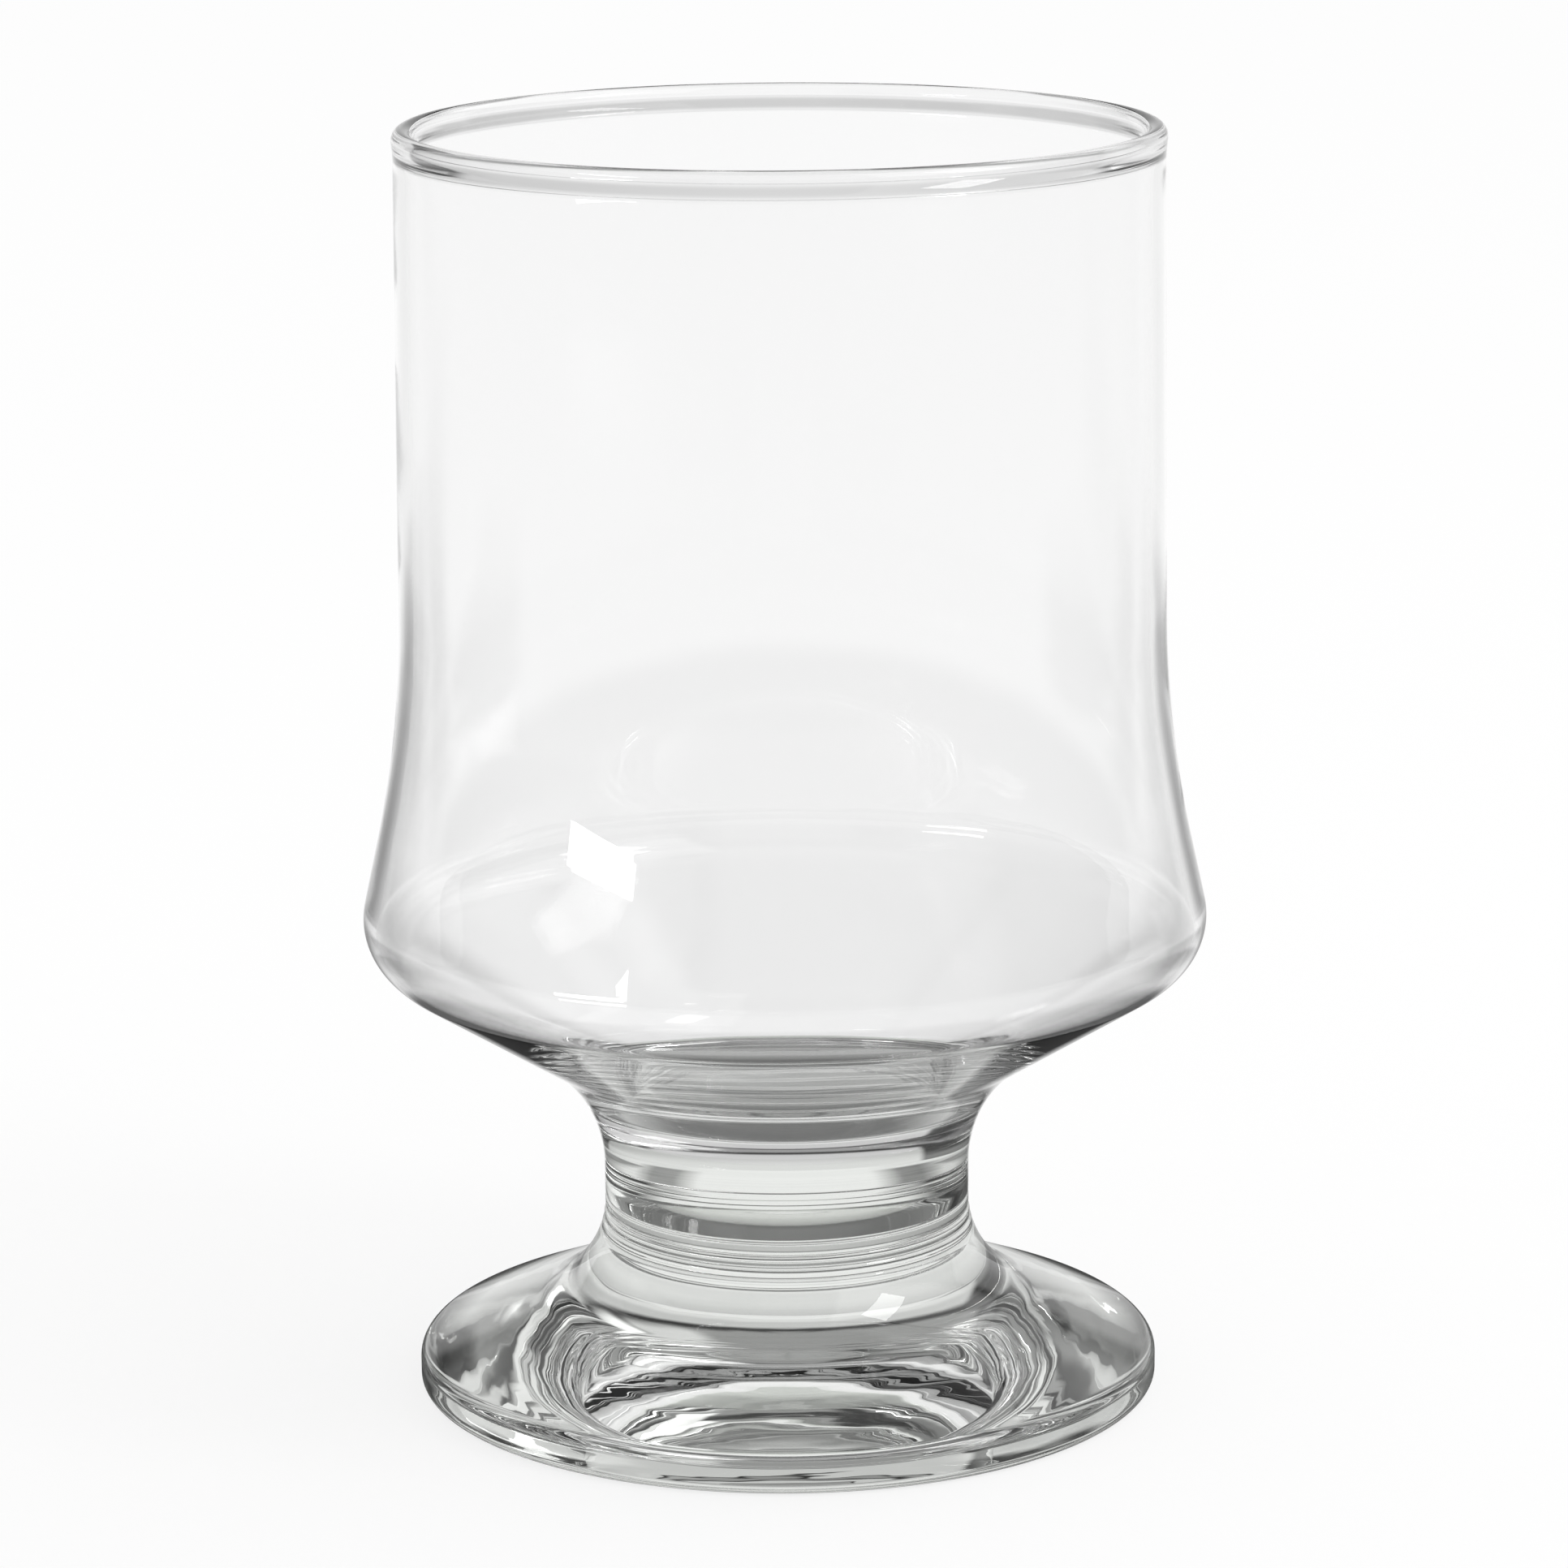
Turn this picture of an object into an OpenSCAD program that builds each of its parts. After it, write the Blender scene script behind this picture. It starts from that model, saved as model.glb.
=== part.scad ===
// Short-stemmed footed goblet of clear glass: a blown bowl, a solid stem and a pressed foot,
// joined hot so that the three touch at two flat seams.
// The origin is the middle of the flat ring that the foot stands on, and Z points up.
// Every piece is an outline turned round Z. Corners of an outline are given where
// its straight lines would meet, and each is then rounded with its own radius.

/* [Lip] */

// Height of the top of the lip above the table
lip_h = 121.5; // [112:0.5:134]
// Outer diameter of the rounded bead round the lip
lip_d = 72; // [66:0.5:76]
// Thickness of the bead
bead_t = 2; // [1.7:0.1:2.6]
// How far the bead stands out past the wall under it
bead_out = 0.15; // [0.05:0.05:0.3]
// Wall thickness right under the bead
wall_t = 1.2; // [0.9:0.1:1.5]

/* [Bowl] */

// Diameter of the corner between the upright wall and the flare
shoulder_d = 72.6; // [68:0.2:77]
// Height of that corner
shoulder_h = 65; // [62:0.5:72]
// Radius that rounds it
shoulder_round = 105; // [60:5:130]
// Wall thickness at the shoulder
shoulder_t = 1.35; // [1:0.05:1.8]
// Diameter of the corner between the flare and the underside
belly_d = 81.9; // [78:0.2:88]
// Height of that corner
belly_h = 43.5; // [42:0.5:46]
// Radius that rounds it
belly_round = 6; // [4:0.5:8]
// Wall thickness at the belly, measured level at the corner
belly_t = 1.55; // [1.3:0.05:2.2]
// Height of the cavity's corner over the outer one, as a share of the belly's wall
belly_rise_share = 0.1; // [0.05:0.05:0.5]
// Radius that rounds the cavity's corner at the belly
cavity_round = 4.8; // [3:0.2:6]
// Thickness of the solid glass between the cavity's floor and the stem
base_t = 2.7; // [2:0.1:5]
// Diameter of the corner between that floor and the cavity's slope
floor_d = 31; // [26:1:34]
// Radius that rounds it
floor_round = 5; // [2:1:12]

/* [Stem] */

// Diameter of the stem at its waist
stem_d = 35.1; // [30:0.1:38]
// Height of the corner between the bowl's underside and the stem
neck_h = 28.8; // [27:0.2:32]
// Radius that rounds it
neck_round = 13.4; // [9:0.2:14]
// Height of the seam between bowl and stem
bowl_seam_h = 26.5; // [24:0.5:28]
// Height of the seam between stem and foot
foot_seam_h = 18.5; // [17:0.5:20]
// Rounding of the two edges that meet at the foot's seam
seam_round = 0.3; // [0.1:0.1:0.6]

/* [Foot] */

// Diameter of the foot
foot_d = 71.2; // [66:0.2:78]
// Height of the corner between the foot's edge and its sloping top
edge_h = 3.7; // [3.2:0.1:5]
// Slope of the foot's top, in degrees
foot_slope = 22; // [16:0.5:26]
// Radius round the top of the foot's edge
edge_round = 1.65; // [1:0.05:2.4]
// Radius round the bottom of the foot's edge
base_round = 1.1; // [0.4:0.1:1.5]
// Width of the flat ring that the foot stands on, measured from the edge's upright line
rest_w = 2.6; // [2:0.1:5]
// Radius that rounds its inner edge
rest_round = 0.75; // [0.25:0.05:1]
// Depth of the hollow under the foot
hollow_h = 0.9; // [0.5:0.1:2.5]
// Diameter of the corner between the hollow's level middle and its slope
hollow_d = 44; // [36:0.2:50]
// Radius that rounds it
hollow_round = 10; // [4:0.5:12]

/* [Hidden] */

// Straight stretches in each rounded corner, and flats round each turned piece
arc_steps = 14;
$fn = 128;

bead_r = bead_t / 2;
bead_centre = [lip_d / 2 - bead_r, lip_h - bead_r];
outer_wall_r = lip_d / 2 - bead_out;
inner_wall_r = outer_wall_r - wall_t;
// Turn of the bead's circle where it meets the outer and the inner wall
bead_outer_turn = -acos((outer_wall_r - bead_centre.x) / bead_r);
bead_inner_turn = 360 - acos((inner_wall_r - bead_centre.x) / bead_r);

stem_r = stem_d / 2;
floor_h = bowl_seam_h + base_t;
// Height at which the rounding of the foot's seam ends and the neck begins
neck_start_h = foot_seam_h + seam_round;

// Corners of the outer outline, from the stem up to the wall under the bead
neck_corner = [stem_r, neck_h];
belly_corner = [belly_d / 2, belly_h];
shoulder_corner = [shoulder_d / 2, shoulder_h];
outer_top = [outer_wall_r, bead_centre.y];

// Corners of the cavity, from its floor up to the wall under the bead
floor_corner = [floor_d / 2, floor_h];
cavity_belly = belly_corner + [-belly_t, belly_t * belly_rise_share];
cavity_shoulder = shoulder_corner - [shoulder_t, 0];
inner_top = [inner_wall_r, bead_centre.y];

// Corners of the foot
edge_corner = [foot_d / 2, edge_h];
foot_neck_corner = [stem_r, edge_h + (edge_corner.x - stem_r) * tan(foot_slope)];
foot_neck_top = foot_seam_h - seam_round;
// The foot's neck curve ends right under the rounding of its seam
foot_neck_round = (foot_neck_top - foot_neck_corner.y) / tan((90 - foot_slope) / 2);
base_corner = [edge_corner.x, 0];
rest_corner = base_corner - [rest_w, 0];
hollow_corner = [hollow_d / 2, hollow_h];
hollow_top = [0, hollow_h];

// Points of an arc about a centre, from one turn to another
function arc(centre, radius, turn_a, turn_b) = [
    for (step = [0:arc_steps])
        let (turn = turn_a + (turn_b - turn_a) * step / arc_steps)
        centre + radius * [cos(turn), sin(turn)]
];

function unit(v) = v / norm(v);

// Signed turn between two directions, the short way round
function short_turn(turn) = turn > 180 ? turn - 360 : turn < -180 ? turn + 360 : turn;

// The share of a straight stretch that the rounding at one of its ends may use
half_share = 1 / 2;

// Points of the arc that rounds the corner at b on the way from a to c.
// It takes up no more than its share of the straight stretch on either side.
function rounded(a, b, c, radius, share_a = half_share, share_c = half_share) =
    let (
        to_a = unit(a - b),
        to_c = unit(c - b),
        half = acos(to_a * to_c) / 2,
        room = min(norm(a - b) * share_a, norm(c - b) * share_c),
        reach = min(radius / tan(half), room),
        centre = b + unit(to_a + to_c) * reach / cos(half),
        start = b + to_a * reach - centre,
        end = b + to_c * reach - centre,
        turn_a = atan2(start.y, start.x),
        turn_b = atan2(end.y, end.x)
    )
    arc(centre, norm(start), turn_a, turn_a + short_turn(turn_b - turn_a));

// Point of a rising path where it crosses a height
function crossing(p, q, height) = p + (q - p) * (height - p.y) / (q.y - p.y);

// The stretch of a rising path above or below a height, with the crossing as its end
function above(path, height) = [
    for (i = [0:len(path) - 1])
        if (path[i].y > height)
            each i > 0 && path[i - 1].y <= height
                ? [crossing(path[i - 1], path[i], height), path[i]]
                : [path[i]]
];
function below(path, height) = [
    for (i = [0:len(path) - 1])
        if (path[i].y < height)
            each i < len(path) - 1 && path[i + 1].y >= height
                ? [path[i], crossing(path[i], path[i + 1], height)]
                : [path[i]]
];

// Outer outline from the foot's seam to the belly's corner, shared by stem and bowl
neck_start = [stem_r, neck_start_h];
neck_path = concat(
    [neck_start],
    rounded(neck_start, neck_corner, belly_corner, neck_round, share_a = 1)
);

bowl_outer = concat(
    above(neck_path, bowl_seam_h),
    rounded(neck_corner, belly_corner, shoulder_corner, belly_round),
    rounded(belly_corner, shoulder_corner, outer_top, shoulder_round)
);
bead = arc(bead_centre, bead_r, bead_outer_turn, bead_inner_turn);
bowl_inner = concat(
    rounded(inner_top, cavity_shoulder, cavity_belly, shoulder_round),
    rounded(cavity_shoulder, cavity_belly, floor_corner, cavity_round),
    rounded(cavity_belly, floor_corner, [0, floor_h], floor_round)
);

// Blown bowl with its beaded lip, its belly and the solid glass under its floor
module bowl() {
    color("lightcyan")
    rotate_extrude()
    polygon(concat(
        [[0, bowl_seam_h]],
        bowl_outer,
        bead,
        bowl_inner,
        [[0, floor_h]]
    ));
}

// Short solid stem, a waisted spool between the two seams
module stem() {
    color("lightblue")
    rotate_extrude()
    polygon(concat(
        [[0, foot_seam_h]],
        rounded([0, foot_seam_h], [stem_r, foot_seam_h], [stem_r, bowl_seam_h], seam_round),
        below(neck_path, bowl_seam_h),
        [[0, bowl_seam_h]]
    ));
}

// Pressed foot: a flared neck, a sloping top, a rounded edge and a hollow underside
module foot() {
    color("powderblue")
    rotate_extrude()
    polygon(concat(
        [hollow_top],
        rounded(hollow_top, hollow_corner, rest_corner, hollow_round),
        rounded(hollow_corner, rest_corner, base_corner, rest_round),
        rounded(rest_corner, base_corner, edge_corner, base_round),
        rounded(base_corner, edge_corner, foot_neck_corner, edge_round),
        rounded(edge_corner, foot_neck_corner, [stem_r, foot_seam_h], foot_neck_round, share_c = 1),
        rounded([stem_r, 0], [stem_r, foot_seam_h], [0, foot_seam_h], seam_round),
        [[0, foot_seam_h]]
    ));
}

bowl();
stem();
foot();
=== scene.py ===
import bpy
import math
from mathutils import Matrix, Quaternion, Vector


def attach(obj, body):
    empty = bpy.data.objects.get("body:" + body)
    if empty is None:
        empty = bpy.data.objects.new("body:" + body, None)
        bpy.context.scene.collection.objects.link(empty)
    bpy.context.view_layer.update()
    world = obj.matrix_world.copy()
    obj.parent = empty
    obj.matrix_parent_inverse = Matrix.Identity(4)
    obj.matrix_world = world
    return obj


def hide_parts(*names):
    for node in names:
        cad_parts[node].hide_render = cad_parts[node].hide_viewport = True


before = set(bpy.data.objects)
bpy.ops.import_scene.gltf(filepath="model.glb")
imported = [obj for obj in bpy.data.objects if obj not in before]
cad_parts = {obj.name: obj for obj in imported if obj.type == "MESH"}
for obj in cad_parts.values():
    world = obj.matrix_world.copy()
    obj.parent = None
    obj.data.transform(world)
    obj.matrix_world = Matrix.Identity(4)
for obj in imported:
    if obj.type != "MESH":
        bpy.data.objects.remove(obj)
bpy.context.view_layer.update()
mm = 0.001

# The glass is three pieces, joined hot: each one is an outline turned round the upright axis.
# Outlines are (radius, height) in millimetres, with the same corners as the solids.
arcSteps = 40
coarseStep = 0.1
fineStep = 0.05
# the end of a path gets a point of its own if the last one is further off than this share of a step
endShare = 0.3
# points closer than this lie in one place
tiny = 1e-4


def arc(centre, radius, turnA, turnB, steps=arcSteps):
    turns = [math.radians(turnA + (turnB - turnA) * i / steps) for i in range(steps + 1)]
    return [(centre[0] + radius * math.cos(t), centre[1] + radius * math.sin(t)) for t in turns]


def rounded(a, b, c, radius):
    # the arc that rounds corner b on the way from a to c
    a, b, c = Vector(a), Vector(b), Vector(c)
    toA, toC = (a - b).normalized(), (c - b).normalized()
    half = math.acos(max(-1, min(1, toA.dot(toC)))) / 2
    centre = b + (toA + toC).normalized() * radius / math.sin(half)
    start = b + toA * radius / math.tan(half) - centre
    end = b + toC * radius / math.tan(half) - centre
    turnA = math.degrees(math.atan2(start.y, start.x))
    turnB = math.degrees(math.atan2(end.y, end.x))
    swing = (turnB - turnA + 180) % 360 - 180
    return arc(centre, radius, turnA, turnA + swing)


def crossing(p, q, height):
    share = (height - p[1]) / (q[1] - p[1])
    return (p[0] + (q[0] - p[0]) * share, height)


def above(path, height):
    kept = []
    for i, p in enumerate(path):
        if p[1] > height:
            if i and path[i - 1][1] <= height:
                kept.append(crossing(path[i - 1], p, height))
            kept.append(p)
    return kept


def below(path, height):
    flipped = above([(r, -z) for r, z in path[::-1]], -height)
    return [(r, -z) for r, z in flipped[::-1]]


def evenly(path, step):
    # points at even steps along the path, so that it can be smoothed
    points = [Vector(path[0])]
    left = step
    for a, b in zip(path[:-1], path[1:]):
        a, b = Vector(a), Vector(b)
        length = (b - a).length
        along = left
        while along <= length:
            points.append(a + (b - a) * along / length)
            along += step
        left = along - length
    if (points[-1] - Vector(path[-1])).length > step * endShare:
        points.append(Vector(path[-1]))
    else:
        points[-1] = Vector(path[-1])
    return points


def firePolished(path, reach, step):
    # hot glass has no crease: averages the path over a short reach, its two ends stay.
    # A pass takes half of each point and a quarter of its neighbours, and the reach grows
    # with the square root of the number of passes.
    points = evenly(path, step)
    for _ in range(max(1, round((reach / step) ** 2 / 2))):
        inside = range(1, len(points) - 1)
        middle = [points[i] * 0.5 + (points[i - 1] + points[i + 1]) * 0.25 for i in inside]
        points = [points[0]] + middle + [points[-1]]
    return points


def thinned(points, maxTurn=1.0, maxStep=1.0):
    # keeps as few points as the curve needs: one for each degree of turn or millimetre of way
    kept = [points[0]]
    turned = 0
    for i in range(1, len(points) - 1):
        before, after = points[i] - points[i - 1], points[i + 1] - points[i]
        turned += abs(math.degrees(before.angle(after, 0)))
        if turned >= maxTurn or (points[i] - kept[-1]).length >= maxStep:
            kept.append(points[i])
            turned = 0
    return kept + [points[-1]]


bowl = {
    "lipHeight": 121.5, "lipDiameter": 72, "bead": 2, "beadOut": 0.15, "wall": 1.2, "lipSteps": 60,
    "shoulder": (36.3, 65), "shoulderRound": 105, "shoulderWall": 1.35,
    "belly": (40.95, 43.5), "bellyRound": 6, "bellyWall": 1.55, "bellyRise": 0.1,
    "cavityRound": 4.8, "floor": (15.5, 29.2), "floorRound": 5,
    # how far the fire rounded every crease, how far below the middle of the bead the wall begins
    # to swell, and how far the fire rounded that swell
    "polish": 0.25, "swell": 1.6, "swellPolish": 0.45,
}
stem = {
    "radius": 17.55, "neckHeight": 28.8, "neckRound": 13.4,
    "bowlSeam": 26.5, "footSeam": 18.5, "seamRound": 0.3,
}

beadRadius = bowl["bead"] / 2
beadCentre = (bowl["lipDiameter"] / 2 - beadRadius, bowl["lipHeight"] - beadRadius)
outerWall = bowl["lipDiameter"] / 2 - bowl["beadOut"]
innerWall = outerWall - bowl["wall"]
# the bowl and the stem share one outer curve, which is cut at their seam
neckCorner = (stem["radius"], stem["neckHeight"])
neckPath = [(stem["radius"], stem["footSeam"] + stem["seamRound"])]
neckPath += rounded((stem["radius"], stem["footSeam"]), neckCorner, bowl["belly"], stem["neckRound"])


def tangentTurn(point, side):
    # turn of the bead's circle where a straight line from the point touches it
    reach = Vector(point) - Vector(beadCentre)
    return math.degrees(math.atan2(reach.y, reach.x) + side * math.acos(beadRadius / reach.length))


def bowlOutline():
    belly, shoulder, floor = bowl["belly"], bowl["shoulder"], bowl["floor"]
    outer = above(neckPath, stem["bowlSeam"])
    outer += rounded(neckCorner, belly, shoulder, bowl["bellyRound"])
    outer += rounded(belly, shoulder, (outerWall, beadCentre[1]), bowl["shoulderRound"])
    # the wall swells gently into the bead, because the lip was melted round and sank a little
    swellOut = (outerWall, beadCentre[1] - bowl["swell"])
    swellIn = (innerWall, beadCentre[1] - bowl["swell"])
    turnOut, turnIn = tangentTurn(swellOut, 1), tangentTurn(swellIn, -1) + 360
    lip = arc(beadCentre, beadRadius, turnOut, turnIn, bowl["lipSteps"])
    cavityBelly = (belly[0] - bowl["bellyWall"], belly[1] + bowl["bellyWall"] * bowl["bellyRise"])
    cavityShoulder = (shoulder[0] - bowl["shoulderWall"], shoulder[1])
    inner = rounded(swellIn, cavityShoulder, cavityBelly, bowl["shoulderRound"])
    inner += rounded(cavityShoulder, cavityBelly, floor, bowl["cavityRound"])
    inner += rounded(cavityBelly, floor, (0, floor[1]), bowl["floorRound"])
    path = outer + [swellOut] + lip + [swellIn] + inner + [(0, floor[1])]
    path = firePolished(path, bowl["polish"], coarseStep)
    # the stretch round the lip, down to twice the swell under it, is rounded once more
    nearLip = [i for i, p in enumerate(path) if p.y > bowl["lipHeight"] - 2 * bowl["swell"]]
    first, last = nearLip[0], nearLip[-1]
    path = path[:first] + firePolished(path[first:last], bowl["swellPolish"], coarseStep) + path[last:]
    return [Vector((0, stem["bowlSeam"]))] + thinned(path)


def stemOutline():
    low, high = (stem["radius"], stem["footSeam"]), (stem["radius"], stem["bowlSeam"])
    path = rounded((0, stem["footSeam"]), low, high, stem["seamRound"])
    path += below(neckPath, stem["bowlSeam"])
    side = thinned(evenly(path, fineStep))
    return [Vector((0, stem["footSeam"]))] + side + [Vector((0, stem["bowlSeam"]))]


foot = {
    "radius": 35.6, "edgeHeight": 3.7, "slope": 22, "edgeRound": 1.65, "baseRound": 1.1, "polish": 0.12,
    "restRadius": 33, "restRound": 0.75, "hollowDepth": 0.9, "domeSteps": 24,
    # rings that the mould leaves on the neck: height and depth of each, and how wide they are
    "rings": [(17.25, 0.15), (16.2, 0.13), (15.2, 0.07)], "ringWidth": 0.27,
    # the mould's grain on the slope: distance and depth of its waves, the radius from which it comes in
    # and over how far, and the same for its height over the edge
    "grainStep": 2.1, "grainDepth": 0.006, "grainFrom": 19, "grainFade": 3, "grainAbove": 0.8, "grainRise": 1,
}
onNeck = 0.01  # a point this little inside the neck's radius still counts as on it


def ringed(points):
    # sinks the mould's rings into the foot's neck, and its grain into the sloping top
    kept = [points[0]]
    for i in range(1, len(points) - 1):
        p, along = points[i], (points[i + 1] - points[i - 1]).normalized()
        rise = p.y - foot["edgeHeight"] - foot["grainAbove"]
        depth = 0
        if rise > 0 and p.x > stem["radius"] - onNeck:
            depth = sum(d * math.exp(-((p.y - h) / foot["ringWidth"]) ** 2) for h, d in foot["rings"])
            fade = min(1, max(0, (p.x - foot["grainFrom"]) / foot["grainFade"]))
            fade *= min(1, rise / foot["grainRise"])
            depth += fade * foot["grainDepth"] * (1 + math.sin(2 * math.pi * p.x / foot["grainStep"]))
        kept.append(p - Vector((along.y, -along.x)) * depth)
    return kept + [points[-1]]


def footOutline():
    edge = (foot["radius"], foot["edgeHeight"])
    neck = (stem["radius"], edge[1] + (edge[0] - stem["radius"]) * math.tan(math.radians(foot["slope"])))
    neckTop = stem["footSeam"] - stem["seamRound"]
    neckRound = (neckTop - neck[1]) / math.tan(math.radians((90 - foot["slope"]) / 2))
    rest, base, seam = (foot["restRadius"], 0), (foot["radius"], 0), (stem["radius"], stem["footSeam"])
    # the hollow is a very flat dome that ends at the ring the foot stands on
    depth = foot["hollowDepth"]
    domeRadius = (rest[0] ** 2 + depth ** 2) / (2 * depth)
    domeEnd = math.degrees(math.acos(rest[0] / domeRadius))
    path = arc((0, depth - domeRadius), domeRadius, 90, domeEnd, foot["domeSteps"])[:-1]
    path += rounded(path[-1], rest, base, foot["restRound"])
    path += rounded(rest, base, edge, foot["baseRound"])
    path += rounded(base, edge, neck, foot["edgeRound"])
    path += rounded(edge, neck, seam, neckRound)
    path += rounded((stem["radius"], 0), seam, (0, stem["footSeam"]), stem["seamRound"])
    side = ringed(firePolished(path, foot["polish"], fineStep))
    return thinned(side) + [Vector((0, stem["footSeam"]))]


def lathe(name, outline, seams, material, seamMaterial, segments=256):
    # turns an outline round the axis; discs at seam heights are the faces that are fused to a neighbour
    verts, rings = [], []
    for p in outline:
        if p[0] < tiny:
            rings.append([len(verts)])
            verts.append((0, 0, p[1] * mm))
        else:
            rings.append(list(range(len(verts), len(verts) + segments)))
            for s in range(segments):
                turn = 2 * math.pi * s / segments
                verts.append((p[0] * mm * math.cos(turn), p[0] * mm * math.sin(turn), p[1] * mm))
    faces, fused = [], []
    for k in range(len(rings)):
        after = (k + 1) % len(rings)
        low, high = rings[k], rings[after]
        if len(low) == 1 and len(high) == 1:
            continue
        level = abs(outline[k][1] - outline[after][1]) < tiny
        isSeam = level and any(abs(outline[k][1] - height) < tiny for height in seams)
        for s in range(segments):
            n = (s + 1) % segments
            if len(low) == 1:
                faces.append((low[0], high[n], high[s]))
            elif len(high) == 1:
                faces.append((low[s], low[n], high[0]))
            else:
                faces.append((low[s], low[n], high[n], high[s]))
            fused.append(isSeam)
    mesh = bpy.data.meshes.new(name)
    mesh.from_pydata(verts, [], faces)
    mesh.materials.append(material)
    mesh.materials.append(seamMaterial)
    mesh.polygons.foreach_set("material_index", [1 if f else 0 for f in fused])
    mesh.polygons.foreach_set("use_smooth", [True] * len(faces))
    mesh.update()
    mesh.validate()
    # the rim of each fused disc is a sharp edge, so that the curved wall keeps its own shading
    touched = {}
    for polygon in mesh.polygons:
        for key in polygon.edge_keys:
            touched.setdefault(key, set()).add(polygon.material_index)
    sharp = mesh.attributes.new("sharp_edge", "BOOLEAN", "EDGE")
    sharp.data.foreach_set("value", [len(touched[tuple(sorted(e.vertices))]) > 1 for e in mesh.edges])
    piece = bpy.data.objects.new(name, mesh)
    bpy.context.collection.objects.link(piece)
    print("made", name, len(mesh.vertices), "vertices")
    return piece


def linear(hexColour):
    # sRGB hex to the linear colour that the shader wants
    parts = [int(hexColour[i:i + 2], 16) / 255 for i in (1, 3, 5)]
    return [p / 12.92 if p <= 0.04045 else ((p + 0.055) / 1.055) ** 2.4 for p in parts] + [1]


def addNode(tree, kind, settings=None, **links):
    # settings and links name a property, an input, or an input's number as "i0"
    node = tree.nodes.new(kind)
    for name, value in list((settings or {}).items()) + list(links.items()):
        if hasattr(node, name):
            setattr(node, name, value)
            continue
        socket = node.inputs[int(name[1:]) if name[1:].isdigit() else name.replace("_", " ")]
        if name in links:
            tree.links.new(value, socket)
        else:
            socket.default_value = value
    return node


def newMaterial(name):
    material = bpy.data.materials.new(name)
    material.use_nodes = True
    material.node_tree.nodes.clear()
    return material, material.node_tree


# Clear soda-lime glass. Fire-polishing leaves no roughness, so it is all gloss and refraction;
# the thick stem and foot hold back a little more light than the thin wall.
# The surface waves are in millimetres: how far apart round the axis and along the outline, and how deep.
# "calm" has two heights, and the share of the depth below the first and above the second.
glassLook = {
    "ior": 1.52, "roughness": 0.0, "waveDetail": 1.5, "waveRoughness": 0.4,
    # blown: wide shallow waves that bend the highlights, almost none in the thick base
    "bowl": {"tint": "#FBFBFB", "across": 16, "along": 11, "depth": 0.04, "calm": (33, 40, 0.1, 1)},
    # drawn out while hot: so even that it looks like a lens
    "stem": {"tint": "#EFF1EE", "across": 14, "along": 3, "depth": 0.002, "calm": (0, 1, 1, 1)},
    # pressed: closer waves that break up what shows through the slope, calmer on the neck
    "foot": {"tint": "#EFF1EE", "across": 12, "along": 4, "depth": 0.026, "calm": (7.5, 11, 1, 0.1)},
}


def clearGlass(name, look):
    material, tree = newMaterial(name)
    # slow waves that the blow or the mould left in the surface, longer round the axis than along the
    # outline: they bend the highlights and break up what shows through the thick foot
    place = addNode(tree, "ShaderNodeTexCoord")
    spot = addNode(tree, "ShaderNodeSeparateXYZ", i0=place.outputs["Object"])
    flat = addNode(tree, "ShaderNodeCombineXYZ", X=spot.outputs["X"], Y=spot.outputs["Y"])
    radius = addNode(tree, "ShaderNodeVectorMath", {"operation": "LENGTH"}, i0=flat.outputs[0])
    along = addNode(
        tree, "ShaderNodeMath", {"operation": "ADD"}, i0=radius.outputs["Value"], i1=spot.outputs["Z"])
    closer = look["across"] / look["along"]
    along = addNode(tree, "ShaderNodeMath", {"operation": "MULTIPLY", "i1": closer}, i0=along.outputs[0])
    wavePlace = addNode(
        tree, "ShaderNodeCombineXYZ", X=spot.outputs["X"], Y=spot.outputs["Y"], Z=along.outputs[0])
    waves = addNode(tree, "ShaderNodeTexNoise", {
        "Scale": 1 / (look["across"] * mm), "Detail": glassLook["waveDetail"],
        "Roughness": glassLook["waveRoughness"]}, Vector=wavePlace.outputs[0])
    low, high, lowShare, highShare = look["calm"]
    calm = addNode(tree, "ShaderNodeMapRange", {
        "From Min": low * mm, "From Max": high * mm, "To Min": lowShare, "To Max": highShare},
        Value=spot.outputs["Z"])
    waves = addNode(
        tree, "ShaderNodeMath", {"operation": "MULTIPLY"}, i0=waves.outputs[0], i1=calm.outputs["Result"])
    surface = addNode(
        tree, "ShaderNodeBump", {"Strength": 1.0, "Distance": look["depth"] * mm}, Height=waves.outputs[0])
    shader = addNode(tree, "ShaderNodeBsdfPrincipled", {
        "Base Color": linear(look["tint"]), "Roughness": glassLook["roughness"], "IOR": glassLook["ior"],
        "Transmission Weight": 1.0}, Normal=surface.outputs[0])
    addNode(tree, "ShaderNodeOutputMaterial", Surface=shader.outputs[0])
    return material


def fusedSeam():
    # inside fused glass there is no surface to see, so light passes straight through the join
    material, tree = newMaterial("fusedGlassSeam")
    shader = addNode(tree, "ShaderNodeBsdfTransparent")
    addNode(tree, "ShaderNodeOutputMaterial", Surface=shader.outputs[0])
    return material


seamGlass = fusedSeam()
bowlGlass = clearGlass("blownSodaLimeGlass", glassLook["bowl"])
stemGlass = clearGlass("drawnSodaLimeGlass", glassLook["stem"])
footGlass = clearGlass("pressedSodaLimeGlass", glassLook["foot"])
bowlPiece = lathe("blownBowl", bowlOutline(), [stem["bowlSeam"]], bowlGlass, seamGlass)
stemPiece = lathe("solidStem", stemOutline(), [stem["bowlSeam"], stem["footSeam"]], stemGlass, seamGlass)
footPiece = lathe("pressedFoot", footOutline(), [stem["footSeam"]], footGlass, seamGlass)
for piece, node in ((bowlPiece, "bowl"), (stemPiece, "stem"), (footPiece, "foot")):
    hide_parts(node)
    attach(piece, "root")
print("glass: three pieces in place of their CAD nodes")

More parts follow.
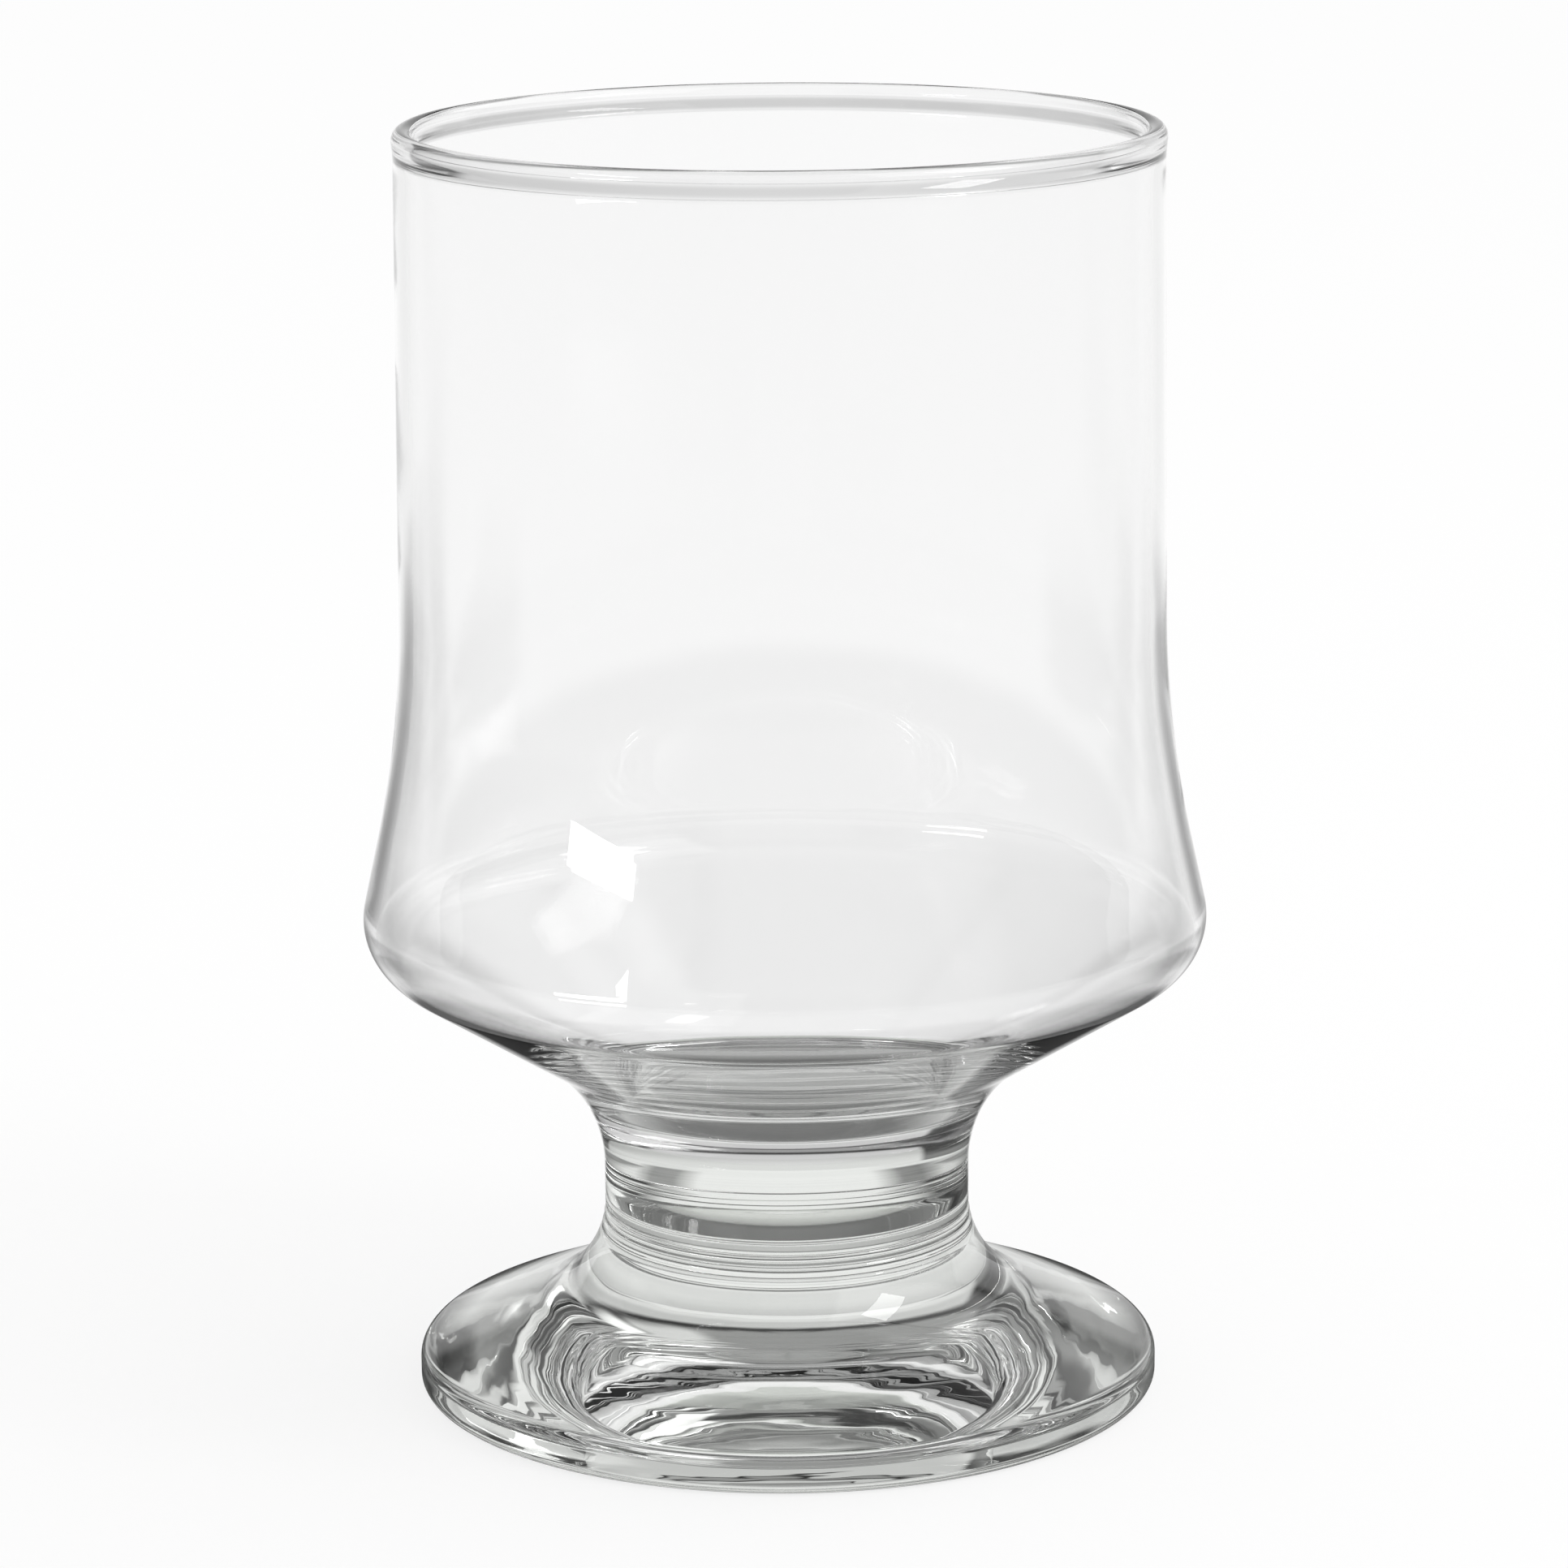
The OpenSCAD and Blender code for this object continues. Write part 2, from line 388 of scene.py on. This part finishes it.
# Studio: a white sheet on a table, windows on both sides, lit walls and a dim room elsewhere.
# Places on the floor are in metres from the axis of the glass, and the camera looks along +Y.
# Angles are in degrees: azimuth 0 is behind the camera, 90 on the right of the glass.
studio = {
    # the sheet, its own glow that makes it white for the camera and in the glass, half its side,
    # and how far it lies below the foot, so that the two faces stay apart
    "sheet": "#7C7C7C", "sheetGlow": 0.795, "sheetHalf": 6.0, "sheetDrop": 0.00005,
    # painted shade that only glass shows: how dark the bands on the sheet are, from far left to far right, by
    # how far aside they lie as a share of how far behind the glass, which counts as at least the next number
    "paintedShades": (
        (-2.4, 0.0), (-1.2, 0.3), (-0.9, 0.3), (-0.6, 0.75), (-0.45, 0.7), (-0.3, 0.0),
        (0.3, 0.0), (0.43, 0.62), (0.6, 0.65), (0.8, 0.08), (1.6, 0.0)),
    "shadeLeast": 0.03,
    # between which distances behind the glass the bands start and thin out, and what is left of them there
    "paintedShadeNear": (0.03, 0.12), "paintedShadeReach": (0.27, 0.42), "paintedShadeFar": 0.15,
    # two more painted dark bands close by: their soft inner and outer edges, the same from front to back, and
    # how dark
    "sidePaintedShade": (0.085, 0.125, 0.2, 0.4), "sideReach": (0.03, 0.06, 0.16, 0.2), "sideDark": 0.68,
    # the painted shade round the foot, which only glass shows: its soft outer edge, then where its heart, its
    # front and its rim start and end and how dark each one is, and the painted lit patch that the rim leaves
    # open behind the glass
    "shadeEdge": (0.085, 0.115), "heart": (0.015, 0.031, 0.77), "front": (-0.02, 0.002, 0.95),
    "rim": (0.030, 0.034, 0.93), "patch": (0.35, 0.6),
    # the room: its brightness, that at the horizon and the heights between which it fades,
    # and the even light that falls on matt things
    "room": 0.045, "horizon": 0.25, "horizonTop": (3, 12), "fill": 0.45,
}
# Lit walls and windows: centre azimuth, half width, centre height, half height, softness, brightness
panels = {
    "rightSoftbox": (87, 55, 44.5, 21, 3, 0.95),
    "backGlow": (165, 50, 6, 13, 2, 0.62),
    "backWall": (196, 50, 39, 15, 2, 0.3),
    "backWindow": (144, 20, 39, 12, 3, 0.45),
    "frontWall": (20, 40, 20, 25, 6, 0.3),
    "leftWall": (290, 35, 12, 22, 5, 0.2),
    "ceiling": (0, 181, 80, 22, 4, 0.33),
}
# Lamps: azimuth, elevation, distance, width and height in metres, tilt, watts
lamps = {
    "windowLeft": (-52, 2.6, 0.8, 0.28, 0.04, 9, 0.5),
    "windowRight": (66, 40, 1.2, 0.32, 0.45, 12, 2.5),
}
lampAim = 0.06  # metres above the floor, about the middle of the glass
softEdge = {"interpolation_type": "SMOOTHSTEP"}


def seen(tree):
    # two values: 1 where the camera itself looks, and 1 where it looks by way of glass.
    # Both are 0 for the light that falls on matt things.
    path = addNode(tree, "ShaderNodeLightPath")
    glass = addNode(
        tree, "ShaderNodeMath", {"operation": "MAXIMUM"},
        i0=path.outputs["Is Glossy Ray"], i1=path.outputs["Is Transmission Ray"])
    return path.outputs["Is Camera Ray"], glass.outputs[0]


def setStops(ramp, stops):
    while len(ramp.elements) < len(stops):
        ramp.elements.new(1.0)
    for element, (place, grey) in zip(ramp.elements, stops):
        element.position = place
        element.color = (grey, grey, grey, 1.0)


def between(tree, value, edges, top):
    # rises to its top between the first two edges and falls to nothing between the last two
    rise = addNode(
        tree, "ShaderNodeMapRange", {"From Min": edges[0], "From Max": edges[1], "To Max": top}, Value=value)
    fall = addNode(tree, "ShaderNodeMapRange", {
        "From Min": edges[2], "From Max": edges[3], "To Min": 1.0, "To Max": 0.0}, Value=value)
    both = addNode(
        tree, "ShaderNodeMath", {"operation": "MULTIPLY"},
        i0=rise.outputs["Result"], i1=fall.outputs["Result"])
    return both.outputs[0]


def backPaintedShade(tree, spot, aside):
    # painted shade: two dark bands on the sheet behind the glass, left and right of its middle: only glass
    # shows them, and they give its clear walls their dark edges
    start, end = studio["paintedShadeNear"]
    near = addNode(
        tree, "ShaderNodeMapRange", {**softEdge, "From Min": start, "From Max": end}, Value=spot.outputs["Y"])
    start, end = studio["paintedShadeReach"]
    far = addNode(tree, "ShaderNodeMapRange", {
        **softEdge, "From Min": start, "From Max": end, "To Min": 1.0, "To Max": studio["paintedShadeFar"]},
        Value=spot.outputs["Y"])
    first, last = studio["paintedShades"][0][0], studio["paintedShades"][-1][0]
    along = addNode(tree, "ShaderNodeMapRange", {"From Min": first, "From Max": last}, Value=aside)
    paintedShades = addNode(tree, "ShaderNodeValToRGB", Fac=along.outputs["Result"])
    setStops(paintedShades.color_ramp, [((share - first) / (last - first), dark) for share, dark in studio["paintedShades"]])
    paintedShades = addNode(
        tree, "ShaderNodeMath", {"operation": "MULTIPLY"}, i0=paintedShades.outputs[0], i1=near.outputs["Result"])
    paintedShades = addNode(
        tree, "ShaderNodeMath", {"operation": "MULTIPLY"}, i0=paintedShades.outputs[0], i1=far.outputs["Result"])
    return paintedShades.outputs[0]


def sidePaintedShade(tree, spot):
    # painted shade: two more dark bands lie closer and further out, and darken the outline of the belly
    out = addNode(tree, "ShaderNodeMath", {"operation": "ABSOLUTE"}, i0=spot.outputs["X"])
    across = between(tree, out.outputs[0], studio["sidePaintedShade"], studio["sideDark"])
    back = between(tree, spot.outputs["Y"], studio["sideReach"], 1.0)
    return addNode(tree, "ShaderNodeMath", {"operation": "MULTIPLY"}, i0=across, i1=back).outputs[0]


def footShade(tree, place, spot, aside):
    # painted shade round the foot, which only glass shows: dark at the heart, toward the front and round the
    # rim, with a painted patch of light behind it where the glass would let light through
    away = addNode(tree, "ShaderNodeVectorMath", {"operation": "LENGTH"}, i0=place)
    start, end, depth = studio["heart"]
    heart = addNode(tree, "ShaderNodeMapRange", {
        "From Min": start, "From Max": end, "To Min": depth, "To Max": 0.0}, Value=away.outputs["Value"])
    start, end, depth = studio["front"]
    front = addNode(tree, "ShaderNodeMapRange", {
        "From Min": start, "From Max": end, "To Min": depth, "To Max": 0.0}, Value=spot.outputs["Y"])
    start, end, depth = studio["rim"]
    rim = addNode(tree, "ShaderNodeMapRange", {
        "From Min": start, "From Max": end, "To Max": depth}, Value=away.outputs["Value"])
    start, end = studio["patch"]
    wide = addNode(tree, "ShaderNodeMath", {"operation": "ABSOLUTE"}, i0=aside)
    wide = addNode(tree, "ShaderNodeMapRange", {"From Min": start, "From Max": end}, Value=wide.outputs[0])
    rim = addNode(
        tree, "ShaderNodeMath", {"operation": "MULTIPLY"},
        i0=rim.outputs["Result"], i1=wide.outputs["Result"])
    shade = addNode(
        tree, "ShaderNodeMath", {"operation": "MAXIMUM"},
        i0=heart.outputs["Result"], i1=front.outputs["Result"])
    shade = addNode(tree, "ShaderNodeMath", {"operation": "MAXIMUM"}, i0=shade.outputs[0], i1=rim.outputs[0])
    start, end = studio["shadeEdge"]
    edge = addNode(tree, "ShaderNodeMapRange", {
        **softEdge, "From Min": start, "From Max": end, "To Min": 1.0, "To Max": 0.0},
        Value=away.outputs["Value"])
    shade = addNode(
        tree, "ShaderNodeMath", {"operation": "MULTIPLY"}, i0=shade.outputs[0], i1=edge.outputs["Result"])
    return shade.outputs[0]


def paleFloor():
    # matt white paper: it takes the shadow of the glass, and its glow brings it up to the white backdrop
    material, tree = newMaterial("paleFloorPaper")
    camera, glass = seen(tree)
    place = addNode(tree, "ShaderNodeTexCoord").outputs["Object"]
    spot = addNode(tree, "ShaderNodeSeparateXYZ", i0=place)
    # how far aside a place lies, as a share of how far it lies behind the glass
    least = studio["shadeLeast"]
    behind = addNode(tree, "ShaderNodeMath", {"operation": "MAXIMUM", "i1": least}, i0=spot.outputs["Y"])
    aside = addNode(
        tree, "ShaderNodeMath", {"operation": "DIVIDE"},
        i0=spot.outputs["X"], i1=behind.outputs[0]).outputs[0]
    paintedShades = addNode(
        tree, "ShaderNodeMath", {"operation": "MAXIMUM"},
        i0=backPaintedShade(tree, spot, aside), i1=sidePaintedShade(tree, spot))
    shade = footShade(tree, place, spot, aside)
    # painted shade: the dark bands and the shade round the foot darken both paper and glow, but only where
    # the camera looks by way of glass
    dark = addNode(tree, "ShaderNodeMath", {"operation": "MAXIMUM"}, i0=paintedShades.outputs[0], i1=shade)
    dark = addNode(tree, "ShaderNodeMath", {"operation": "MULTIPLY"}, i0=dark.outputs[0], i1=glass)
    pale = addNode(tree, "ShaderNodeMath", {"operation": "SUBTRACT", "i0": 1.0}, i1=dark.outputs[0])
    either = addNode(tree, "ShaderNodeMath", {"operation": "MAXIMUM"}, i0=camera, i1=glass)
    glow = addNode(
        tree, "ShaderNodeMath", {"operation": "MULTIPLY", "i1": studio["sheetGlow"]}, i0=either.outputs[0])
    glow = addNode(tree, "ShaderNodeMath", {"operation": "MULTIPLY"}, i0=glow.outputs[0], i1=pale.outputs[0])
    # inputs 6 and 7 of a colour mix are its two colours, and output 2 is the result
    paper = addNode(tree, "ShaderNodeMix", {
        "data_type": "RGBA", "i6": (0, 0, 0, 1), "i7": linear(studio["sheet"])}, i0=pale.outputs[0])
    matt = addNode(tree, "ShaderNodeBsdfDiffuse", Color=paper.outputs[2])
    light = addNode(tree, "ShaderNodeEmission", {"Color": (1, 1, 1, 1)}, Strength=glow.outputs[0])
    both = addNode(tree, "ShaderNodeAddShader", i0=matt.outputs[0], i1=light.outputs[0])
    addNode(tree, "ShaderNodeOutputMaterial", Surface=both.outputs[0])
    mesh = bpy.data.meshes.new("floor")
    half, height = studio["sheetHalf"], -studio["sheetDrop"]
    corners = [(-half, -half, height), (half, -half, height), (half, half, height), (-half, half, height)]
    mesh.from_pydata(corners, [], [(0, 1, 2, 3)])
    mesh.materials.append(material)
    floor = bpy.data.objects.new("floor", mesh)
    bpy.context.collection.objects.link(floor)


def panel(tree, azimuth, height, look):
    # a soft-edged rectangle of light on the walls of the room
    middle, halfWidth, centreHeight, halfHeight, soft, bright = look
    turn = addNode(tree, "ShaderNodeMath", {"operation": "SUBTRACT", "i1": math.radians(middle)}, i0=azimuth)
    turn = addNode(
        tree, "ShaderNodeMath", {"operation": "WRAP", "i1": -math.pi, "i2": math.pi}, i0=turn.outputs[0])
    turn = addNode(tree, "ShaderNodeMath", {"operation": "ABSOLUTE"}, i0=turn.outputs[0])
    across = addNode(tree, "ShaderNodeMapRange", {
        **softEdge, "From Min": math.radians(halfWidth + soft), "From Max": math.radians(halfWidth - soft)},
        Value=turn.outputs[0])
    rise = addNode(
        tree, "ShaderNodeMath", {"operation": "SUBTRACT", "i1": math.radians(centreHeight)}, i0=height)
    rise = addNode(tree, "ShaderNodeMath", {"operation": "ABSOLUTE"}, i0=rise.outputs[0])
    up = addNode(tree, "ShaderNodeMapRange", {
        **softEdge, "From Min": math.radians(halfHeight + soft), "From Max": math.radians(halfHeight - soft),
        "To Max": bright}, Value=rise.outputs[0])
    lit = addNode(
        tree, "ShaderNodeMath", {"operation": "MULTIPLY"},
        i0=across.outputs["Result"], i1=up.outputs["Result"])
    return lit.outputs[0]


def studioWorld():
    world = bpy.data.worlds.new("studio")
    bpy.context.scene.world = world
    world.use_nodes = True
    tree = world.node_tree
    tree.nodes.clear()
    place = addNode(tree, "ShaderNodeTexCoord")
    way = addNode(tree, "ShaderNodeSeparateXYZ", i0=place.outputs["Generated"])
    front = addNode(tree, "ShaderNodeMath", {"operation": "MULTIPLY", "i1": -1.0}, i0=way.outputs["Y"])
    azimuth = addNode(
        tree, "ShaderNodeMath", {"operation": "ARCTAN2"}, i0=way.outputs["X"], i1=front.outputs[0]).outputs[0]
    height = addNode(tree, "ShaderNodeMath", {"operation": "ARCSINE"}, i0=way.outputs["Z"]).outputs[0]
    low, high = studio["horizonTop"]
    light = addNode(tree, "ShaderNodeMapRange", {
        **softEdge, "From Min": math.radians(low), "From Max": math.radians(high),
        "To Min": studio["horizon"], "To Max": studio["room"]}, Value=height).outputs["Result"]
    for look in panels.values():
        lit = panel(tree, azimuth, height, look)
        light = addNode(tree, "ShaderNodeMath", {"operation": "ADD"}, i0=light, i1=lit).outputs[0]
    # matt things get an even light from all round as well, and the camera sees a white backdrop
    camera, glass = seen(tree)
    matt = addNode(tree, "ShaderNodeMath", {"operation": "SUBTRACT", "i0": 1.0}, i1=glass)
    light = addNode(
        tree, "ShaderNodeMath", {"operation": "MULTIPLY_ADD", "i1": studio["fill"]},
        i0=matt.outputs[0], i2=light).outputs[0]
    # inputs 2 and 3 of a number mix are its two numbers
    most = addNode(tree, "ShaderNodeMix", {"data_type": "FLOAT", "i3": 1.0}, i0=camera, i2=light)
    sky = addNode(tree, "ShaderNodeBackground", {"Color": (1, 1, 1, 1)}, Strength=most.outputs[0])
    addNode(tree, "ShaderNodeOutputWorld", Surface=sky.outputs[0])


def softbox(name, azimuth, elevation, distance, width, height, tilt, watts):
    a, e = math.radians(azimuth), math.radians(elevation)
    away = Vector((math.sin(a) * math.cos(e), -math.cos(a) * math.cos(e), math.sin(e)))
    lamp = bpy.data.lights.new(name, "AREA")
    lamp.shape = "RECTANGLE"
    lamp.size, lamp.size_y = width, height
    lamp.energy = watts
    holder = bpy.data.objects.new(name, lamp)
    holder.location = Vector((0, 0, lampAim)) + away * distance
    holder.rotation_mode = "QUATERNION"
    holder.rotation_quaternion = away.to_track_quat("Z", "Y") @ Quaternion((0, 0, 1), math.radians(tilt))
    holder.visible_camera = False
    bpy.context.collection.objects.link(holder)


paleFloor()
studioWorld()
for name, look in lamps.items():
    softbox(name, *look)
print("studio: sheet, cards, room and", len(lamps), "lamps")

# Camera: where the photograph was taken from, fitted to the outline of the glass. Millimetres back and
# up, degrees down and rolled, focal length and frame width in pixels, and the sensor in millimetres.
cameraPlace = {
    "back": 540.0, "height": 184.11, "down": 13.08, "roll": 0.41,
    "pixels": 7183.1, "frame": 1932, "sensor": 36,
}
lens = bpy.data.cameras.new("camera")
lens.sensor_width = cameraPlace["sensor"]
lens.lens = cameraPlace["sensor"] * cameraPlace["pixels"] / cameraPlace["frame"]
camera = bpy.data.objects.new("camera", lens)
tripod = Matrix.Translation((0, -cameraPlace["back"] * mm, cameraPlace["height"] * mm))
tilted = Matrix.Rotation(math.radians(90 - cameraPlace["down"]), 4, "X")
rolled = Matrix.Rotation(math.radians(-cameraPlace["roll"]), 4, "Z")
camera.matrix_world = tripod @ tilted @ rolled
bpy.context.collection.objects.link(camera)
bpy.context.scene.camera = camera

# light crosses many surfaces before it leaves thick glass, so it gets more bounces than usual
lightBounces = {
    "max_bounces": 32, "transmission_bounces": 32, "glossy_bounces": 24, "transparent_max_bounces": 32,
}
scene = bpy.context.scene
scene.view_settings.view_transform = "Standard"
for name, count in lightBounces.items():
    setattr(scene.cycles, name, count)
print("camera: at the photograph's place")
